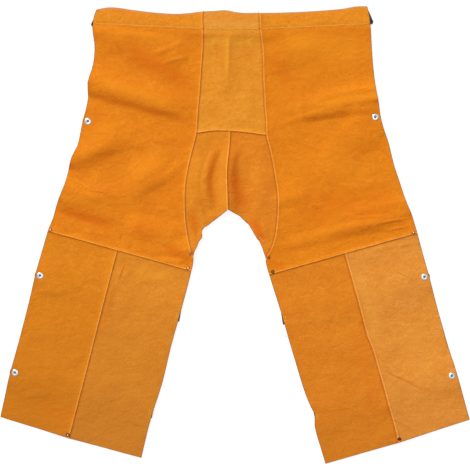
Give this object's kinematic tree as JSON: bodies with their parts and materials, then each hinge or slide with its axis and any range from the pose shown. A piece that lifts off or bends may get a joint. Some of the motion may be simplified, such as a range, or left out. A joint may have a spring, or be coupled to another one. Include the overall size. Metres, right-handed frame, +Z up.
{
  "type": "split-leg welding apron",
  "caption": "Split-leg leather welding apron laid flat, with a belt through a turned waist hem and studded leg straps.",
  "frame": {"origin": "centre of the bounding box in plan, on the surface that the apron lies on", "axes": "+Z up out of the surface, away from the apron's inside face; +Y towards the waist; +X to the right as seen from above, across the two feet"},
  "size_m": [1.032, 1.0061, 0.0139],
  "materials": {
    "suede_thigh": "napped split cowhide",
    "suede_yoke": "napped split cowhide",
    "suede_shin": "napped split cowhide",
    "suede_tab": "napped split cowhide",
    "webbing": "woven tape",
    "buckle": "moulded, fine texture",
    "ring_stud": "polished nickel plate",
    "seam_rivet": "plain nickel plate"
  },
  "bodies": {
    "root": {"thigh_panel_left": "suede_thigh", "thigh_panel_right": "suede_thigh", "front_yoke": "suede_yoke", "gore_left": "suede_yoke", "gore_right": "suede_yoke", "shin_outer_left": "suede_shin", "shin_inner_left": "suede_shin", "shin_outer_right": "suede_shin", "shin_inner_right": "suede_shin", "belt_webbing": "webbing", "belt_buckle": "buckle", "strap_thigh_left": "webbing", "strap_thigh_right": "webbing", "strap_knee_left": "webbing", "strap_knee_right": "webbing", "strap_ankle_left": "webbing", "strap_ankle_right": "webbing", "tab_thigh_left": "suede_tab", "tab_thigh_right": "suede_tab", "tab_knee_left": "suede_tab", "tab_knee_right": "suede_tab", "tab_ankle_left": "suede_tab", "tab_ankle_right": "suede_tab", "stud_thigh_left": "ring_stud", "stud_thigh_right": "ring_stud", "stud_knee_left": "ring_stud", "stud_knee_right": "ring_stud", "stud_ankle_left": "ring_stud", "stud_ankle_right": "ring_stud", "rivet_knee_outer_left": "seam_rivet", "rivet_knee_inner_left": "seam_rivet", "rivet_gore_left": "seam_rivet", "rivet_hem_left": "seam_rivet", "rivet_knee_outer_right": "seam_rivet", "rivet_knee_inner_right": "seam_rivet", "rivet_gore_right": "seam_rivet", "rivet_hem_right": "seam_rivet"}
  },
  "joints": []
}
